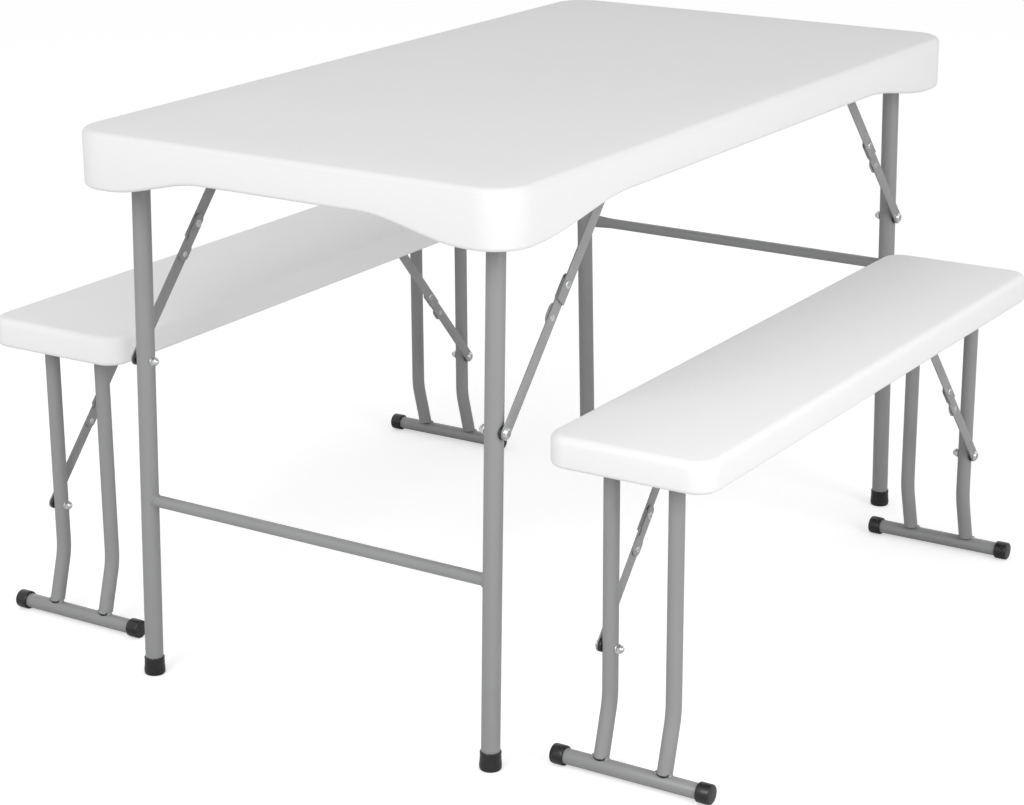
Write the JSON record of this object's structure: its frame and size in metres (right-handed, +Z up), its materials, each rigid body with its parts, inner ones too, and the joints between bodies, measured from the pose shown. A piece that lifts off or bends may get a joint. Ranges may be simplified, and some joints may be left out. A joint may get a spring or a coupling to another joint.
{
  "type": "folding table with benches",
  "caption": "White moulded-plastic folding table with free-standing folding benches on grey tubular steel legs, held open by riveted strap braces.",
  "frame": {"origin": "on the floor under the middle of the set's overall box", "axes": "+Z up, +Y along the table's length from the picture's near end to its far end, +X across it towards the right bench"},
  "size_m": [1.1408, 1.2, 0.74],
  "materials": {
    "plastic": "matt white moulded polyethylene with a fine grain",
    "paint": "grey powder coat",
    "strap": "grey powder coat on flat strap",
    "zinc": "bright zinc plate",
    "rubber": "matt black moulded cap"
  },
  "bodies": {
    "table": {"table_top": "plastic", "side_rail_left": "paint", "side_rail_right": "paint"},
    "table_legs_near": {"table_legs_near": "paint", "table_near_left_foot_ferrule": "rubber", "table_near_left_link_bolt": "zinc", "table_near_right_foot_ferrule": "rubber", "table_near_right_link_bolt": "zinc"},
    "table_near_left_lower_link": {"table_near_left_lower_link": "strap"},
    "table_near_left_upper_link": {"table_near_left_upper_link": "strap", "table_near_left_elbow_rivet": "zinc"},
    "table_near_right_lower_link": {"table_near_right_lower_link": "strap"},
    "table_near_right_upper_link": {"table_near_right_upper_link": "strap", "table_near_right_elbow_rivet": "zinc"},
    "table_legs_far": {"table_legs_far": "paint", "table_far_left_foot_ferrule": "rubber", "table_far_left_link_bolt": "zinc", "table_far_right_foot_ferrule": "rubber", "table_far_right_link_bolt": "zinc"},
    "table_far_left_lower_link": {"table_far_left_lower_link": "strap"},
    "table_far_left_upper_link": {"table_far_left_upper_link": "strap", "table_far_left_elbow_rivet": "zinc"},
    "table_far_right_lower_link": {"table_far_right_lower_link": "strap"},
    "table_far_right_upper_link": {"table_far_right_upper_link": "strap", "table_far_right_elbow_rivet": "zinc"},
    "bench_right": {"bench_right_seat": "plastic", "bench_right_bracket_near": "paint", "bench_right_bracket_far": "paint"},
    "bench_right_legs_near": {"bench_right_legs_near": "paint", "bench_right_near_cap_left": "rubber", "bench_right_near_cap_right": "rubber", "bench_right_near_link_bolt": "zinc"},
    "bench_right_near_lower_link": {"bench_right_near_lower_link": "strap"},
    "bench_right_near_upper_link": {"bench_right_near_upper_link": "strap", "bench_right_near_elbow_rivet": "zinc"},
    "bench_right_legs_far": {"bench_right_legs_far": "paint", "bench_right_far_cap_left": "rubber", "bench_right_far_cap_right": "rubber", "bench_right_far_link_bolt": "zinc"},
    "bench_right_far_lower_link": {"bench_right_far_lower_link": "strap"},
    "bench_right_far_upper_link": {"bench_right_far_upper_link": "strap", "bench_right_far_elbow_rivet": "zinc"},
    "bench_left": {"bench_left_seat": "plastic", "bench_left_bracket_near": "paint", "bench_left_bracket_far": "paint"},
    "bench_left_legs_near": {"bench_left_legs_near": "paint", "bench_left_near_cap_left": "rubber", "bench_left_near_cap_right": "rubber", "bench_left_near_link_bolt": "zinc"},
    "bench_left_near_lower_link": {"bench_left_near_lower_link": "strap"},
    "bench_left_near_upper_link": {"bench_left_near_upper_link": "strap", "bench_left_near_elbow_rivet": "zinc"},
    "bench_left_legs_far": {"bench_left_legs_far": "paint", "bench_left_far_cap_left": "rubber", "bench_left_far_cap_right": "rubber", "bench_left_far_link_bolt": "zinc"},
    "bench_left_far_lower_link": {"bench_left_far_lower_link": "strap"},
    "bench_left_far_upper_link": {"bench_left_far_upper_link": "strap", "bench_left_far_elbow_rivet": "zinc"}
  },
  "joints": [
    {"name": "table_near_fold", "type": "hinge", "parent": "table", "child": "table_legs_near", "pos_m": [0.025, -0.532, 0.703], "axis": [1, 0, 0], "range_deg": [0, 91.79]},
    {"name": "table_near_left_lower_strap", "type": "hinge", "parent": "table_legs_near", "child": "table_near_left_lower_link", "pos_m": [-0.2435, -0.54045, 0.433], "axis": [1, 0, 0], "range_deg": [0, 39.47]},
    {"name": "table_near_left_upper_strap", "type": "hinge", "parent": "table", "child": "table_near_left_upper_link", "pos_m": [-0.2435, -0.304, 0.703], "axis": [-1, 0, 0], "range_deg": [0, 48.84]},
    {"name": "table_near_right_lower_strap", "type": "hinge", "parent": "table_legs_near", "child": "table_near_right_lower_link", "pos_m": [0.2935, -0.54045, 0.433], "axis": [1, 0, 0], "range_deg": [0, 39.47]},
    {"name": "table_near_right_upper_strap", "type": "hinge", "parent": "table", "child": "table_near_right_upper_link", "pos_m": [0.2935, -0.304, 0.703], "axis": [-1, 0, 0], "range_deg": [0, 48.84]},
    {"name": "table_far_fold", "type": "hinge", "parent": "table", "child": "table_legs_far", "pos_m": [0.025, 0.532, 0.703], "axis": [-1, 0, 0], "range_deg": [0, 87.39]},
    {"name": "table_far_left_lower_strap", "type": "hinge", "parent": "table_legs_far", "child": "table_far_left_lower_link", "pos_m": [-0.2435, 0.53939, 0.467], "axis": [-1, 0, 0], "range_deg": [0, 38.79]},
    {"name": "table_far_left_upper_strap", "type": "hinge", "parent": "table", "child": "table_far_left_upper_link", "pos_m": [-0.2435, 0.332, 0.703], "axis": [1, 0, 0], "range_deg": [0, 47.79]},
    {"name": "table_far_right_lower_strap", "type": "hinge", "parent": "table_legs_far", "child": "table_far_right_lower_link", "pos_m": [0.2935, 0.53939, 0.467], "axis": [-1, 0, 0], "range_deg": [0, 38.79]},
    {"name": "table_far_right_upper_strap", "type": "hinge", "parent": "table", "child": "table_far_right_upper_link", "pos_m": [0.2935, 0.332, 0.703], "axis": [1, 0, 0], "range_deg": [0, 47.79]},
    {"name": "bench_right_push", "type": "slide", "parent": "table", "child": "bench_right", "axis": [1, 0, 0], "range_m": [-0.3, 0.15]},
    {"name": "bench_right_near_fold", "type": "hinge", "parent": "bench_right", "child": "bench_right_legs_near", "pos_m": [0.45907, -0.47195, 0.4], "axis": [0.9999, 0.0148, 0], "range_deg": [0, 90]},
    {"name": "bench_right_near_lower_strap", "type": "hinge", "parent": "bench_right_legs_near", "child": "bench_right_near_lower_link", "pos_m": [0.41508, -0.4726, 0.16], "axis": [0.9999, 0.0148, 0], "range_deg": [0, 41.51]},
    {"name": "bench_right_near_upper_strap", "type": "hinge", "parent": "bench_right", "child": "bench_right_near_upper_link", "pos_m": [0.41193, -0.26063, 0.4], "axis": [-0.9999, -0.0148, 0], "range_deg": [0, 48.59]},
    {"name": "bench_right_far_fold", "type": "hinge", "parent": "bench_right", "child": "bench_right_legs_far", "pos_m": [0.44593, 0.41395, 0.4], "axis": [-0.9999, -0.0148, 0], "range_deg": [0, 90]},
    {"name": "bench_right_far_lower_strap", "type": "hinge", "parent": "bench_right_legs_far", "child": "bench_right_far_lower_link", "pos_m": [0.48992, 0.4146, 0.16], "axis": [-0.9999, -0.0148, 0], "range_deg": [0, 41.51]},
    {"name": "bench_right_far_upper_strap", "type": "hinge", "parent": "bench_right", "child": "bench_right_far_upper_link", "pos_m": [0.49307, 0.20263, 0.4], "axis": [0.9999, 0.0148, 0], "range_deg": [0, 48.59]},
    {"name": "bench_left_push", "type": "slide", "parent": "table", "child": "bench_left", "axis": [1, 0, 0], "range_m": [-0.15, 0.35]},
    {"name": "bench_left_near_fold", "type": "hinge", "parent": "bench_left", "child": "bench_left_legs_near", "pos_m": [-0.44593, -0.45295, 0.4], "axis": [0.9999, 0.0148, 0], "range_deg": [0, 90]},
    {"name": "bench_left_near_lower_strap", "type": "hinge", "parent": "bench_left_legs_near", "child": "bench_left_near_lower_link", "pos_m": [-0.48992, -0.4536, 0.16], "axis": [0.9999, 0.0148, 0], "range_deg": [0, 41.51]},
    {"name": "bench_left_near_upper_strap", "type": "hinge", "parent": "bench_left", "child": "bench_left_near_upper_link", "pos_m": [-0.49307, -0.24163, 0.4], "axis": [-0.9999, -0.0148, 0], "range_deg": [0, 48.59]},
    {"name": "bench_left_far_fold", "type": "hinge", "parent": "bench_left", "child": "bench_left_legs_far", "pos_m": [-0.45907, 0.43295, 0.4], "axis": [-0.9999, -0.0148, 0], "range_deg": [0, 90]},
    {"name": "bench_left_far_lower_strap", "type": "hinge", "parent": "bench_left_legs_far", "child": "bench_left_far_lower_link", "pos_m": [-0.41508, 0.4336, 0.16], "axis": [-0.9999, -0.0148, 0], "range_deg": [0, 41.51]},
    {"name": "bench_left_far_upper_strap", "type": "hinge", "parent": "bench_left", "child": "bench_left_far_upper_link", "pos_m": [-0.41193, 0.22163, 0.4], "axis": [0.9999, 0.0148, 0], "range_deg": [0, 48.59]}
  ],
  "couplings": [
    {"joint": "table_near_left_lower_strap", "follows": "table_near_fold", "ratio": 0.42943},
    {"joint": "table_near_left_upper_strap", "follows": "table_near_fold", "ratio": 0.53153},
    {"joint": "table_near_right_lower_strap", "follows": "table_near_fold", "ratio": 0.42943},
    {"joint": "table_near_right_upper_strap", "follows": "table_near_fold", "ratio": 0.53153},
    {"joint": "table_far_left_lower_strap", "follows": "table_far_fold", "ratio": 0.44325},
    {"joint": "table_far_left_upper_strap", "follows": "table_far_fold", "ratio": 0.54631},
    {"joint": "table_far_right_lower_strap", "follows": "table_far_fold", "ratio": 0.44325},
    {"joint": "table_far_right_upper_strap", "follows": "table_far_fold", "ratio": 0.54631},
    {"joint": "bench_right_near_lower_strap", "follows": "bench_right_near_fold", "ratio": 0.46061},
    {"joint": "bench_right_near_upper_strap", "follows": "bench_right_near_fold", "ratio": 0.53939},
    {"joint": "bench_right_far_lower_strap", "follows": "bench_right_far_fold", "ratio": 0.46061},
    {"joint": "bench_right_far_upper_strap", "follows": "bench_right_far_fold", "ratio": 0.53939},
    {"joint": "bench_left_near_lower_strap", "follows": "bench_left_near_fold", "ratio": 0.46061},
    {"joint": "bench_left_near_upper_strap", "follows": "bench_left_near_fold", "ratio": 0.53939},
    {"joint": "bench_left_far_lower_strap", "follows": "bench_left_far_fold", "ratio": 0.46061},
    {"joint": "bench_left_far_upper_strap", "follows": "bench_left_far_fold", "ratio": 0.53939}
  ]
}
